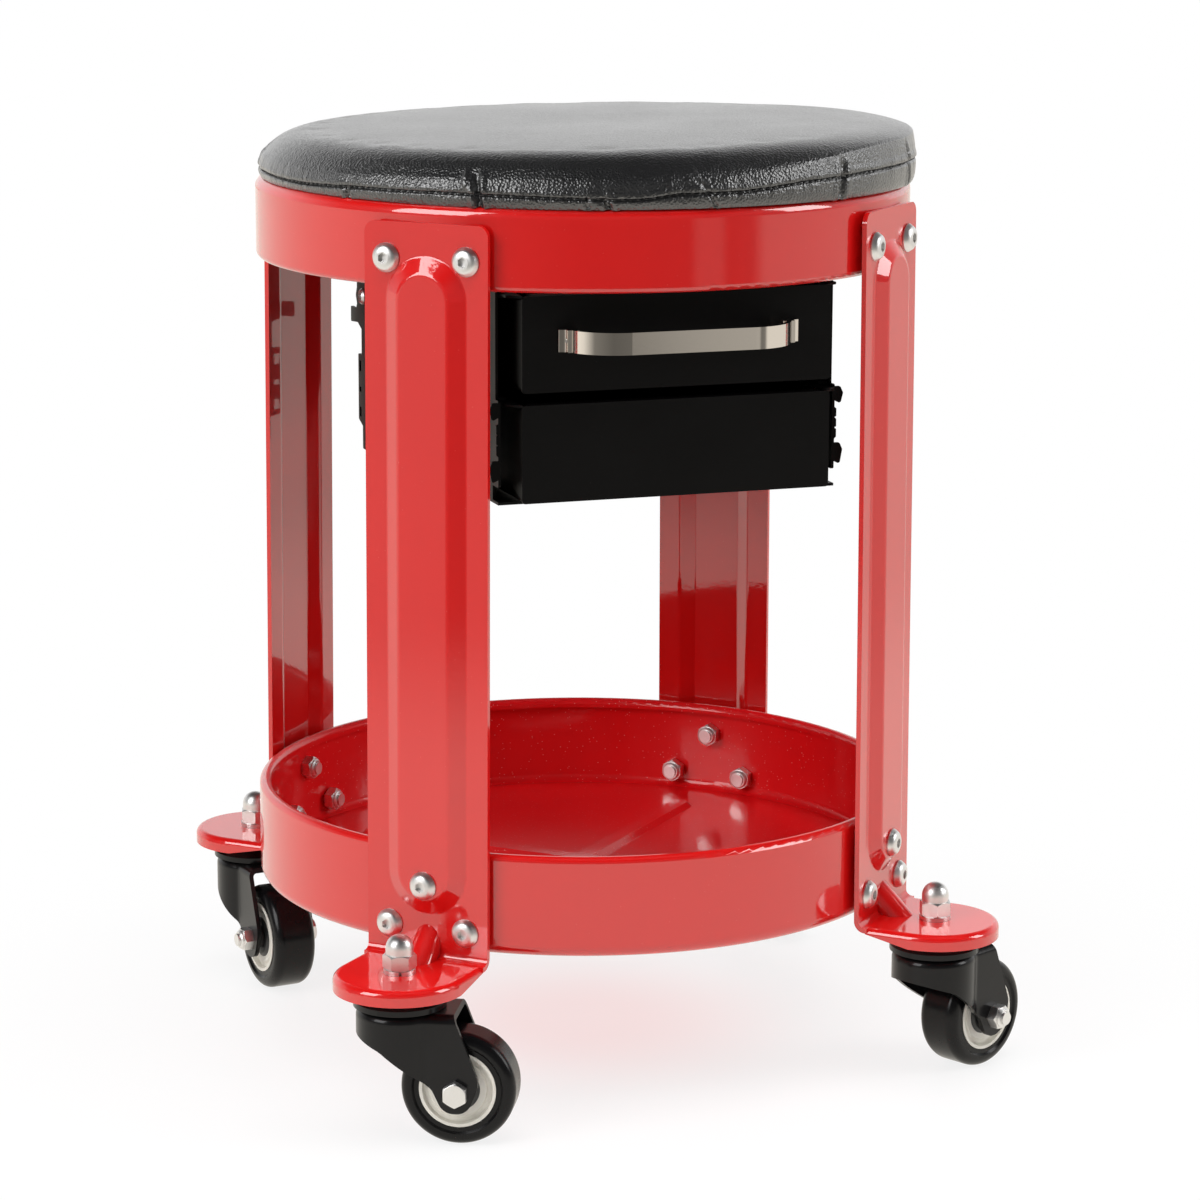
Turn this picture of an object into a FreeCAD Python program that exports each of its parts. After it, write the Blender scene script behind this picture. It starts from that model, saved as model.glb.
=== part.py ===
import FreeCAD, Part
import math
import os

from FreeCAD import Vector

os.makedirs("parts", exist_ok=True)

# Rolling mechanic's seat. Millimetres, +Z up, the floor at Z = 0 and the seat's
# centre line on the Z axis. The drawers open towards -Y, the four legs stand on the diagonals.

# Seat pan and tray, two round pressings of the same family
PAN_RADIUS = 150.0
PAN_BOTTOM = 370.0
PAN_TOP = 406.5
TRAY_RADIUS = 152.0
TRAY_BOTTOM = 77.5
TRAY_RIM = 123.3
PAN_SHEET = 1.5
HEM_WIDTH = 5.6
HEM_RADIUS = 2.7

# Legs, 60 mm strip with a pressed rib, spreading slightly from the pan to the tray
LEG_SHEET = 2.2
LEG_HALF_WIDTH = 29.75
LEG_TOP = 398.5
LEG_FACE_AT_TOP = 150.1
LEG_SPREAD = 2.1
LEG_BEND = 5.2
PLATE_TOP = 74.5
PLATE_RADIUS = 29.3
LIP_BOTTOM = 67.5
RIB_HALF_WIDTH = 18.6
RIB_PANEL_HALF_WIDTH = 11.6
RIB_HEIGHT = 4.0
RIB_CENTRES = (113.4, 365.0)
RIB_PATCH_HALF_WIDTH = 21.6
GUSSET_REACH = 10.4
GUSSET_RADIUS = 6.6
GUSSET_SHEET = 2.0

# Screws of the legs: height on the leg and distance from its centre line
UPPER_SCREWS = (383.0, 19.2)
LOWER_SCREWS = (87.6, 18.8)
CENTRE_SCREW_Z = 107.8
SCREW_HOLE_RADIUS = 3.3

# Casters, 2 inch wheels on a swivel fork, in a frame with the stem on Z and the wheel towards +X
STEM_DISTANCE = 180.0
STEM_RADIUS = 3.95
WHEEL_RADIUS = 25.4
WHEEL_WIDTH = 21.0
TRAIL = 27.0
HEAD_RADIUS = 19.3
FORK_TOP = 60.0
FORK_SHEET = 2.2
FORK_HALF_WIDTH = 14.8
AXLE_RADIUS = 2.98
RACE_TOP = 66.3

# Drawers and their hangers
DRAWER_HALF_WIDTH = 71.0
DRAWER_WALL = 70.0
DRAWER_FRONT = -127.2
DRAWER_BACK = 78.0
DRAWER_SHEET = 1.0
DRAWER_LEVELS = {"upper": (326.3, 368.0), "lower": (278.4, 321.0)}
FLANGE_HALF_WIDTH = 76.2
HANGER_INNER = 77.0
HANGER_SHEET = 1.2
HANGER_TOP = 404.9
RAIL_INNER = 71.9
STRAP_SCREW = (94.0, 341.0)

# Bow handle of the upper drawer
HANDLE_Z = 348.7
HANDLE_HEIGHT = 9.6
HANDLE_STRAP = 2.0
HANDLE_REACH = 20.0
HANDLE_STRAIGHT = 28.3
HANDLE_BEND = 24.0
HANDLE_SCREW_X = 50.6

# Cushion and the board inside it
BOARD_RADIUS = 141.5
BOARD_BOTTOM = 406.8
BOARD_THICKNESS = 9.0
CUSHION_TOP = 437.5
SEAT_BOLTS = [(x, y) for x in (-67.0, 67.0) for y in (-60.0, 60.0)]

# Directions of the legs, and the way each caster's wheel trails from its stem
LEG_ANGLES = {"front_left": -135.0, "front_right": -45.0, "rear_left": 135.0, "rear_right": 45.0}
TRAIL_ANGLES = {"front_left": -27.0, "front_right": 26.0, "rear_left": -82.0, "rear_right": -60.0}

ORIGIN = Vector(0, 0, 0)
X_AXIS = Vector(1, 0, 0)
Y_AXIS = Vector(0, 1, 0)
Z_AXIS = Vector(0, 0, 1)


# Helpers for sketches, bent sheet and placing

def xz(u, v):
    return Vector(u, 0, v)


def xy(u, v):
    return Vector(u, v, 0)


def rounded_corner(before, corner, after, radius):
    """First, middle and last point of the arc that rounds one corner."""
    a = Vector(before[0] - corner[0], before[1] - corner[1], 0).normalize()
    b = Vector(after[0] - corner[0], after[1] - corner[1], 0).normalize()
    half = a.getAngle(b) / 2
    origin = Vector(corner[0], corner[1], 0)
    reach = radius / math.tan(half)
    middle = origin + (a + b).normalize() * (radius / math.sin(half) - radius)
    return [(p.x, p.y) for p in (origin + a * reach, middle, origin + b * reach)]


def wire(points, place, closed=True):
    """Wire through (u, v, radius) points; a point without a radius stays sharp."""
    count = len(points)
    arcs = []
    for i, point in enumerate(points):
        is_end = not closed and i in (0, count - 1)
        radius = point[2] if len(point) > 2 and not is_end else 0
        if radius > 0:
            arcs.append(rounded_corner(points[i - 1], point, points[(i + 1) % count], radius))
        else:
            arcs.append([point[:2]])
    edges = []
    for i, arc in enumerate(arcs):
        if len(arc) == 3:
            edges.append(Part.Arc(*[place(*p) for p in arc]).toShape())
        if closed or i < count - 1:
            start = place(*arc[-1])
            end = place(*arcs[(i + 1) % count][0])
            if start.distanceToPoint(end) > 1e-6:
                edges.append(Part.makeLine(start, end))
    return Part.Wire(edges)


def face(points, place=xz):
    return Part.Face(wire(points, place))


def revolve(points):
    """Solid of revolution about Z from a closed (radius, height) profile."""
    return face(points).revolve(ORIGIN, Z_AXIS, 360.0)


def prism(points, place, depth):
    return face(points, place).extrude(depth)


def bent(path, thickness):
    """Closed outline of bent sheet: an open (u, v, radius) path, thickened to its left."""
    steps = [Vector(b[0] - a[0], b[1] - a[1], 0).normalize() for a, b in zip(path, path[1:])]
    normals = [Vector(-s.y, s.x, 0) for s in steps]
    other = []
    for i, point in enumerate(path):
        before, after = normals[max(i - 1, 0)], normals[min(i, len(normals) - 1)]
        shift = (before + after) * (thickness / (1 + before.dot(after)))
        radius = point[2] if len(point) > 2 else 0
        if radius > 0:
            left_turn = before.cross(after).z > 0
            radius = max(radius - thickness, 0) if left_turn else radius + thickness
        other.append((point[0] + shift.x, point[1] + shift.y, radius))
    return list(path) + other[::-1]


def moved(shape, x, y, z):
    copy = shape.copy()
    copy.translate(Vector(x, y, z))
    return copy


def turned(shape, angle, centre=ORIGIN, axis=Z_AXIS):
    copy = shape.copy()
    copy.rotate(centre, axis, angle)
    return copy


def standing(shape, point, direction):
    """Stands a shape that is drawn upwards on Z at a point, along a direction."""
    copy = shape.copy()
    copy.Placement = FreeCAD.Placement(point, FreeCAD.Rotation(Z_AXIS, direction))
    return copy


def mirrored(shape):
    return shape.mirror(ORIGIN, X_AXIS)


def box(x, y, z):
    return Part.makeBox(x[1] - x[0], y[1] - y[0], z[1] - z[0], Vector(x[0], y[0], z[0]))


def rod(radius, start, end):
    direction = end - start
    return Part.makeCylinder(radius, direction.Length, start, direction)


def hexagon(across_flats, bottom, top, angle=0.0):
    radius = across_flats / math.sqrt(3)
    turns = [math.radians(60 * i + angle) for i in range(6)]
    corners = [(radius * math.cos(turn), radius * math.sin(turn)) for turn in turns]
    return prism(corners, lambda u, v: Vector(u, v, bottom), Vector(0, 0, top - bottom))


def save(name, shape):
    shape.exportStep("parts/%s.step" % name)


# Fasteners, drawn with the bearing face at Z = 0

def button_screw(length):
    """M6 button head above Z = 0 with a 4 mm hexagon socket, shank down to -length."""
    turning = revolve([(0, -length), (3.0, -length), (3.0, 0), (6.4, 0), (6.4, 0.6), (4.9, 2.9, 2.4), (2.8, 3.4),
                       (0, 3.4)])
    return turning.cut(hexagon(4.0, 1.4, 3.6))


def lock_nut():
    """M6 lock nut: bevelled hexagon with the collar that holds its insert."""
    blank = hexagon(10.0, 0, 4.6)
    bevel = revolve([(0, -0.1), (6.0, -0.1), (6.0, 3.6), (4.9, 4.7), (0, 4.7)])
    collar = revolve([(0, 3.5), (4.5, 3.5), (4.5, 5.3), (3.8, 6.0), (0, 6.0)])
    return blank.common(bevel).fuse(collar).cut(rod(3.05, Vector(0, 0, -1), Vector(0, 0, 7)))


def pan_screw(length):
    """M4 pan-head screw with a cross recess."""
    turning = revolve([(0, -length), (1.95, -length), (1.95, 0), (3.9, 0), (3.9, 1.2), (2.9, 2.3), (0, 2.3)])
    return turning.cut(box((-0.5, 0.5), (-2.1, 2.1), (1.1, 3))).cut(box((-2.1, 2.1), (-0.5, 0.5), (1.1, 3)))


# Seat pan: a shallow round pressing, closed at the top, its lower edge rolled in

def seat_pan():
    hem = PAN_RADIUS - HEM_WIDTH
    path = [(hem, PAN_BOTTOM + 4.5), (hem, PAN_BOTTOM, HEM_RADIUS), (PAN_RADIUS, PAN_BOTTOM, HEM_RADIUS),
            (PAN_RADIUS, PAN_TOP, 5.0), (0, PAN_TOP)]
    pan = revolve(bent(path, PAN_SHEET))
    height, side = UPPER_SCREWS
    for angle in LEG_ANGLES.values():
        for across in (-side, side):
            pan = pan.cut(turned(leg_hole(height, across), angle))
    for x, y in SEAT_BOLTS:
        pan = pan.cut(rod(SCREW_HOLE_RADIUS, Vector(x, y, PAN_TOP - 5), Vector(x, y, PAN_TOP + 5)))
    return pan


def leg_hole(height, across):
    return rod(SCREW_HOLE_RADIUS, Vector(138, across, height), Vector(168, across, height))


# Tray: the same pressing the other way up, with a raised cross on its floor

def tray():
    hem = TRAY_RADIUS - HEM_WIDTH
    path = [(0, TRAY_BOTTOM), (TRAY_RADIUS, TRAY_BOTTOM, 5.5), (TRAY_RADIUS, TRAY_RIM, HEM_RADIUS),
            (hem, TRAY_RIM, HEM_RADIUS), (hem, TRAY_RIM - 4.5)]
    pan = revolve(bent(path, PAN_SHEET))
    floor = TRAY_BOTTOM + PAN_SHEET
    for angle in (45.0, 135.0):
        pan = pan.fuse(turned(cross_arm(floor - 0.5, floor + 2.4, 6.6), angle))
    for angle in (45.0, 135.0):
        pan = pan.cut(turned(cross_arm(TRAY_BOTTOM - 0.5, TRAY_BOTTOM + 2.4, 5.8), angle))
    height, side = LOWER_SCREWS
    for angle in LEG_ANGLES.values():
        for z, across in ((height, -side), (height, side), (CENTRE_SCREW_Z, 0)):
            pan = pan.cut(turned(leg_hole(z, across), angle))
    return pan


def cross_arm(bottom, top, half_width, reach=112.0):
    """Low bar along X with sloping sides and round ends."""
    side = [(half_width, bottom), (half_width - 2.6, top)]
    ends = prism([(-u, v) for u, v in side] + side[::-1], lambda u, v: Vector(-reach, u, v), Vector(2 * reach, 0, 0))
    cap = revolve([(0, bottom)] + side + [(0, top)])
    return ends.fuse([moved(cap, -reach, 0, 0), moved(cap, reach, 0, 0)])


# Leg: bent strip with a long pressed rib, a gusset in the bend and the caster plate

def leg_face(height):
    """Distance of the leg's inner face from the centre line of the seat."""
    return LEG_FACE_AT_TOP + LEG_SPREAD * (LEG_TOP - height) / (LEG_TOP - TRAY_BOTTOM)


def leg():
    under = PLATE_TOP - LEG_SHEET
    foot = leg_face(under)
    plate_start = foot + LEG_BEND
    width = Vector(0, 2 * LEG_HALF_WIDTH, 0)
    path = [(LEG_FACE_AT_TOP, LEG_TOP), (foot, under, LEG_BEND), (plate_start + 1, under)]
    strip = prism(bent(path, LEG_SHEET), lambda u, v: Vector(u, -LEG_HALF_WIDTH, v), width)
    front = [(-LEG_HALF_WIDTH, 60), (LEG_HALF_WIDTH, 60), (LEG_HALF_WIDTH, LEG_TOP, 5), (-LEG_HALF_WIDTH, LEG_TOP, 5)]
    strip = strip.common(prism(front, lambda u, v: Vector(140, u, v), Vector(40, 0, 0)))
    body = strip.cut(rib(filled=True)).fuse([rib(), caster_plate(plate_start)])
    body = body.fuse(gusset(foot)).cut(gusset(foot, hollow=True))
    height, side = UPPER_SCREWS
    low_height, low_side = LOWER_SCREWS
    seats = [(height, -side), (height, side), (low_height, -low_side), (low_height, low_side), (CENTRE_SCREW_Z, 0)]
    for z, across in seats:
        body = body.cut(leg_hole(z, across))
    stem_hole = rod(4.3, Vector(STEM_DISTANCE, 0, 60), Vector(STEM_DISTANCE, 0, 90))
    return body.cut(stem_hole).removeSplitter()


def rib(filled=False):
    """Stadium-shaped patch of sheet with the raised rib, leaning like the strip."""
    w, p = RIB_HALF_WIDTH, RIB_PANEL_HALF_WIDTH
    if filled:
        half = [(0, -1), (RIB_PATCH_HALF_WIDTH, -1), (RIB_PATCH_HALF_WIDTH, 9), (0, 9)]
    else:
        half = bent([(0, RIB_HEIGHT), (p, RIB_HEIGHT, 1.4), (w, 0, 4.2), (RIB_PATCH_HALF_WIDTH, 0)], LEG_SHEET)
    section = face(half, lambda u, v: Vector(v, u, 0))
    low, high = RIB_CENTRES
    right = section.extrude(Vector(0, 0, high - low))
    left = right.mirror(ORIGIN, Y_AXIS)
    upper_end = moved(section.revolve(ORIGIN, X_AXIS, 180), 0, 0, high - low)
    lower_end = section.revolve(ORIGIN, X_AXIS, -180)
    start = Vector(leg_face(low), 0, low)
    patch = right.fuse([left, upper_end, lower_end])
    lean = math.degrees(math.atan(LEG_SPREAD / (LEG_TOP - TRAY_BOTTOM)))
    return turned(moved(patch, *start), -lean, start, Y_AXIS)


def plate_outline(start, radius):
    """D-shaped face at Z = 0, straight towards the leg and round about the stem."""
    end = STEM_DISTANCE
    arc = Part.Arc(Vector(end, -radius, 0), Vector(end + radius, 0, 0), Vector(end, radius, 0)).toShape()
    corners = [Vector(end, radius, 0), Vector(start, radius, 0), Vector(start, -radius, 0), Vector(end, -radius, 0)]
    return Part.Face(Part.Wire([arc] + Part.makePolygon(corners).Edges))


def rounded_slab(outline, bottom, top, start, rounding):
    """Slab with its upper edge rounded all round but on the straight side at start."""
    slab = moved(outline, 0, 0, bottom).extrude(Vector(0, 0, top - bottom))
    rim = [e for e in slab.Edges if e.BoundBox.ZMin > top - 1e-6 and e.BoundBox.XMax > start + 1]
    return slab.makeFillet(rounding, rim)


def caster_plate(start):
    """Plate with its edge turned down, the turned edge running out towards the bend."""
    under = PLATE_TOP - LEG_SHEET
    outer = rounded_slab(plate_outline(start, PLATE_RADIUS), LIP_BOTTOM, PLATE_TOP, start, 3.0)
    inside = plate_outline(start - 4, PLATE_RADIUS - LEG_SHEET)
    inner = rounded_slab(inside, LIP_BOTTOM - 2, under, start - 4, 1.0)
    run_out = [(start - 1, LIP_BOTTOM - 1), (start - 1, under - 0.2), (STEM_DISTANCE - 2, LIP_BOTTOM), (STEM_DISTANCE, LIP_BOTTOM - 1)]
    return outer.cut(inner).cut(prism(run_out, lambda u, v: Vector(u, -40, v), Vector(0, 80, 0)))


def gusset(foot, hollow=False):
    """Rounded ridge at 45 degrees across the bend, pressed out from behind."""
    front = foot + LEG_SHEET
    outwards = Vector(1, 0, 1).normalize()
    along = Vector(1, 0, -1).normalize()
    axis_point = Vector(front, 0, PLATE_TOP) + outwards * (GUSSET_REACH - GUSSET_RADIUS)
    radius = GUSSET_RADIUS - GUSSET_SHEET if hollow else GUSSET_RADIUS
    back = 8.0 if hollow else LEG_SHEET / 2
    ridge = rod(radius, axis_point - along * 30, axis_point + along * 30)
    if hollow:
        slot = Part.makeBox(60, 2 * radius, 16, Vector(-30, -radius, -16))
        slot.Placement = FreeCAD.Placement(axis_point, FreeCAD.Rotation(Y_AXIS, 45)) * slot.Placement
        ridge = ridge.fuse(slot)
    return ridge.common(box((front - back, front + 40), (-20, 20), (PLATE_TOP - back, PLATE_TOP + 40)))


# Screws and nuts of the legs, the nuts inside the pan and the tray

def nut_seat(wall, across):
    """Distance from the centre line at which a flat nut touches the curved inner wall."""
    return math.sqrt((wall - PAN_SHEET) ** 2 - (abs(across) + 5.8) ** 2) - 0.1


def leg_fasteners():
    height, side = UPPER_SCREWS
    low_height, low_side = LOWER_SCREWS
    seats = [(height, -side, PAN_RADIUS), (height, side, PAN_RADIUS), (low_height, -low_side, TRAY_RADIUS),
             (low_height, low_side, TRAY_RADIUS), (CENTRE_SCREW_Z, 0, TRAY_RADIUS)]
    short, long, nuts = [], [], []
    for angle in LEG_ANGLES.values():
        for z, across, wall in seats:
            centre = z == CENTRE_SCREW_Z
            head = leg_face(z) + LEG_SHEET + 0.06 + (RIB_HEIGHT if centre else 0)
            screw = standing(button_screw(15.0 if centre else 13.0), Vector(head, across, z), X_AXIS)
            nut = standing(lock_nut(), Vector(nut_seat(wall, across), across, z), -X_AXIS)
            (long if centre else short).append(turned(screw, angle))
            nuts.append(turned(nut, angle))
    return short, long, nuts


# Seat board with tee nuts, and the bolts that come up through hanger, pan and board

def seat_board():
    top = BOARD_BOTTOM + BOARD_THICKNESS
    board = revolve([(0, BOARD_BOTTOM), (BOARD_RADIUS, BOARD_BOTTOM), (BOARD_RADIUS, top - 1), (BOARD_RADIUS - 1, top), (0, top)])
    for x, y in SEAT_BOLTS:
        board = board.cut(rod(4.35, Vector(x, y, 400), Vector(x, y, 430)))
        board = board.cut(rod(9.3, Vector(x, y, top - 1.3), Vector(x, y, 430)))
    return board


def tee_nut():
    top = BOARD_BOTTOM + BOARD_THICKNESS
    return revolve([(3.05, top - 8), (4.3, top - 8), (4.3, top - 1.25), (9.2, top - 1.25), (9.2, top), (3.05, top)])


# Cushion: crowned top, rounded shoulder and a side that draws in to the pan

def cushion():
    crown_edge = 110.0
    crown_drop = 2.7
    ball = (crown_edge ** 2 + crown_drop ** 2) / (2 * crown_drop)
    midway = (crown_edge / 2, CUSHION_TOP - ball + math.sqrt(ball ** 2 - crown_edge ** 2 / 4))
    start = (crown_edge, CUSHION_TOP - crown_drop)
    arcs = [((145.5, 406.9), (148.3, 410.2), (149.2, 415.0)), ((149.2, 415.0), (147.2, 422.0), (141.6, 427.3)),
            ((141.6, 427.3), (128.5, 431.9), start), (start, midway, (0.0, CUSHION_TOP))]
    skin = [Part.Arc(*[xz(*p) for p in arc]).toShape() for arc in arcs]
    ceiling = BOARD_BOTTOM + BOARD_THICKNESS + 0.3
    wall = BOARD_RADIUS + 0.3
    recess = Part.makePolygon([xz(0, CUSHION_TOP), xz(0, ceiling), xz(wall, ceiling), xz(wall, 406.9), xz(145.5, 406.9)])
    return Part.Face(Part.Wire(skin + recess.Edges)).revolve(ORIGIN, Z_AXIS, 360.0)


# Drawer: folded open box whose side flanges run in the rails of the hangers

def drawer(level):
    bottom, top = DRAWER_LEVELS[level]
    t = DRAWER_SHEET
    depth = Vector(0, DRAWER_BACK - DRAWER_FRONT - 0.5, 0)
    path = [(-FLANGE_HALF_WIDTH, top - t), (-DRAWER_WALL, top - t, 0.5), (-DRAWER_WALL, bottom, 1.6),
            (DRAWER_WALL, bottom, 1.6), (DRAWER_WALL, top - t, 0.5), (FLANGE_HALF_WIDTH, top - t)]
    body = prism(bent(path, t), lambda u, v: Vector(u, DRAWER_FRONT + 0.5, v), depth)
    snip = prism([(DRAWER_WALL, DRAWER_FRONT - 1), (DRAWER_WALL, DRAWER_FRONT + 1.5), (FLANGE_HALF_WIDTH, DRAWER_FRONT + 7),
                  (FLANGE_HALF_WIDTH + 1, DRAWER_FRONT + 7), (FLANGE_HALF_WIDTH + 1, DRAWER_FRONT - 1)],
                 lambda u, v: Vector(u, v, top - 3), Vector(0, 0, 6))
    body = body.cut([snip, mirrored(snip)])
    w = DRAWER_HALF_WIDTH
    front = prism([(-w, bottom, 1.5), (w, bottom, 1.5), (w, top, 1.5), (-w, top, 1.5)],
                  lambda u, v: Vector(u, DRAWER_FRONT, v), Vector(0, t, 0))
    hem = box((-w + 4, w - 4), (DRAWER_FRONT, DRAWER_FRONT + 8), (top - t, top))
    back = box((-DRAWER_WALL, DRAWER_WALL), (DRAWER_BACK - t, DRAWER_BACK), (bottom + 0.6, top))
    flap = prism([(DRAWER_FRONT, bottom + 1.5), (DRAWER_FRONT + 20, bottom + 7, 2), (DRAWER_FRONT + 20, top - 13, 4),
                  (DRAWER_FRONT + 8, top - 2.2), (DRAWER_FRONT, top - 1.5)],
                 lambda u, v: Vector(w - t, u, v), Vector(t, 0, 0))
    body = body.fuse([front, hem, back, flap, mirrored(flap)])
    if level == "upper":
        for x in (-HANDLE_SCREW_X, HANDLE_SCREW_X):
            body = body.cut(rod(2.15, Vector(x, DRAWER_FRONT - 2, HANDLE_Z), Vector(x, DRAWER_FRONT + 2, HANDLE_Z)))
    return body.removeSplitter()


# Handle: flat strap bowed out from the drawer on two curved ends, with a small foot at each end

def handle():
    front = DRAWER_FRONT - HANDLE_REACH
    turn = math.acos(1 - HANDLE_REACH / HANDLE_BEND)
    corner = HANDLE_STRAIGHT + HANDLE_BEND * math.tan(turn / 2)
    end_x = HANDLE_STRAIGHT + HANDLE_BEND * math.sin(turn)
    over = (end_x + 0.3 * math.cos(turn), DRAWER_FRONT + 0.3 * math.sin(turn))
    path = [(-over[0], over[1]), (-corner, front, HANDLE_BEND), (corner, front, HANDLE_BEND), over]
    half = HANDLE_HEIGHT / 2
    strap = prism(bent(path, HANDLE_STRAP), lambda u, v: Vector(u, v, HANDLE_Z - half), Vector(0, 0, HANDLE_HEIGHT))
    strap = strap.cut(box((-70, 70), (DRAWER_FRONT - 0.06, DRAWER_FRONT + 9), (300, 400)))
    foot = prism([(end_x - 5.4, 0), (end_x + 3.2, 0), (end_x + 3.2, -1.6, 0.5), (end_x + 0.2, -2.6, 1.5),
                  (end_x + 0.2, -5.2), (end_x - 5.4, -5.2, 1.2)],
                 lambda u, v: Vector(u, DRAWER_FRONT - 0.06 + v, HANDLE_Z - half), Vector(0, 0, HANDLE_HEIGHT))
    body = strap.fuse([foot, mirrored(foot)])
    for x in (-HANDLE_SCREW_X, HANDLE_SCREW_X):
        body = body.cut(rod(2.0, Vector(x, DRAWER_FRONT - 4.2, HANDLE_Z), Vector(x, DRAWER_FRONT + 2, HANDLE_Z)))
    return body.removeSplitter()


# Hanger on the right side: web with the rails of both drawers, bolted up through its top flange

def drawer_hanger():
    t = HANGER_SHEET
    outside = HANGER_INNER + t
    top = HANGER_TOP
    outline = [(-112, top), (-112, 322), (-116, 322, 1), (-116, 284, 1), (-108, 284), (-108, 276.4, 1), (-60, 276.4),
               (60, 266.5), (98.5, 266.5, 1), (98.5, 277.5), (105.5, 280, 1), (105.5, 312, 1), (99.5, 312), (99.5, 324.5),
               (106, 327), (118, 326, 1), (118, 333.5, 1), (108.5, 333.5, 0.5), (107, 336), (109, 340, 1.5), (107, 344, 1),
               (107, top)]
    web = prism(outline, lambda u, v: Vector(HANGER_INNER, u, v), Vector(t, 0, 0))
    for low, high in ((303.6, 308.8), (293.5, 296.1), (281.4, 286.3)):
        web = web.cut(box((70, 90), (100.6, 103.6), (low, high)))
    y, z = STRAP_SCREW
    web = web.cut(rod(2.15, Vector(70, y, z), Vector(90, y, z)))
    flange = prism([(outside, -112), (57, -96, 6), (57, 92, 6), (outside, 107)], lambda u, v: Vector(u, v, top - t), Vector(0, 0, t))
    pieces = [flange, box((66, outside), (-116, -60), (276.4, 276.4 + t))]
    for bottom, level in DRAWER_LEVELS.values():
        shelf = level - DRAWER_SHEET - 0.2
        keeper = level + 0.2
        pieces.append(box((RAIL_INNER, HANGER_INNER + 0.5), (-110, 80), (shelf - t, shelf)))
        pieces.append(box((RAIL_INNER + 1, HANGER_INNER + 0.5), (-110, 80), (keeper, keeper + t)))
    for low, high in ((313.2, 321.0), (286.0, 295.7)):
        pieces.append(prism([(HANGER_INNER, low + 2), (81, low, 1), (82.2, high - 3, 0.8), (80.8, high, 1), (HANGER_INNER, high)],
                            lambda u, v: Vector(u, -116, v), Vector(0, t, 0)))
    teeth = [(HANGER_INNER, 297.5), (outside, 297.5)]
    for i in range(3):
        base = 298.4 + 4.6 * i
        teeth += [(outside + 0.9, base, 0.4), (outside + 0.9, base + 3.4, 0.4), (outside, base + 4.2)]
    teeth.append((HANGER_INNER, 312.0))
    pieces.append(prism(teeth, lambda u, v: Vector(u, -116, v), Vector(0, t, 0)))
    body = web.fuse(pieces)
    for y in (-60.0, 60.0):
        body = body.cut(rod(SCREW_HOLE_RADIUS, Vector(67, y, top - 5), Vector(67, y, top + 5)))
    return body.removeSplitter()


# Stop strap behind the drawers, tying the two hangers together

def stop_strap():
    edge = HANGER_INNER - 0.1
    path = [(-edge, 101), (-edge, 84, 2.2), (edge, 84, 2.2), (edge, 101)]
    strap = prism(bent(path, HANGER_SHEET), lambda u, v: Vector(u, v, 300), Vector(0, 0, 50))
    trim = prism([(88, 299), (110, 299), (110, 334, 1), (88, 334, 2)], lambda u, v: Vector(-90, u, v), Vector(180, 0, 0))
    y, z = STRAP_SCREW
    return strap.cut(trim).cut(rod(2.15, Vector(-90, y, z), Vector(90, y, z)))


def strap_fasteners():
    y, z = STRAP_SCREW
    outside = HANGER_INNER + HANGER_SHEET + 0.05
    inside = HANGER_INNER - 0.1 - HANGER_SHEET - 0.05
    nut = hexagon(7.0, 0, 3.2).cut(rod(2.0, Vector(0, 0, -1), Vector(0, 0, 5)))
    screws = [standing(pan_screw(6.6), Vector(side * outside, y, z), X_AXIS * side) for side in (-1, 1)]
    nuts = [standing(nut, Vector(side * inside, y, z), X_AXIS * -side) for side in (-1, 1)]
    return screws, nuts


# Caster pieces that stay with the leg: stem, hexagon collar, race cup, washer, dome nut

def caster_stem():
    end = PLATE_TOP + 11.0
    return revolve([(0, 55.2), (5.3, 55.2), (6.5, 56.4), (6.5, 57.7), (STEM_RADIUS, 57.7), (STEM_RADIUS, end), (0, end)])


def stem_collar():
    return hexagon(16.0, RACE_TOP + 0.05, PLATE_TOP - LEG_SHEET - 0.05, 15.0).cut(rod(4.0, ORIGIN, Vector(0, 0, 90)))


def race_cup():
    path = [(20.5, 60.4), (20.5, 62.9), (16.6, RACE_TOP), (4.0, RACE_TOP)]
    return revolve(bent(path, 2.0))


def spring_washer():
    bottom = PLATE_TOP + 0.05
    ring = revolve([(4.1, bottom), (7.1, bottom), (7.1, bottom + 2), (4.1, bottom + 2)])
    return ring.cut(turned(box((0, 10), (-0.6, 0.6), (bottom - 1, bottom + 4)), 30.0))


def dome_nut():
    """M8 dome nut, standing on the spring washer."""
    base = PLATE_TOP + 2.1
    blank = hexagon(13.0, base, base + 6.5)
    bevel = revolve([(0, base), (6.7, base), (7.6, base + 0.8), (7.6, base + 5.6), (6.4, base + 6.6), (0, base + 6.6)])
    dome = revolve([(0, base + 5), (6.1, base + 5), (6.1, base + 15.2, 6.0), (0, base + 15.2)])
    bore = rod(4.0, Vector(0, 0, base - 1), Vector(0, 0, PLATE_TOP + 11.3))
    return blank.common(bevel).fuse(dome).cut(bore)


# Swivel fork: round head drawn out into two cheeks, cut to its side outline

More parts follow.
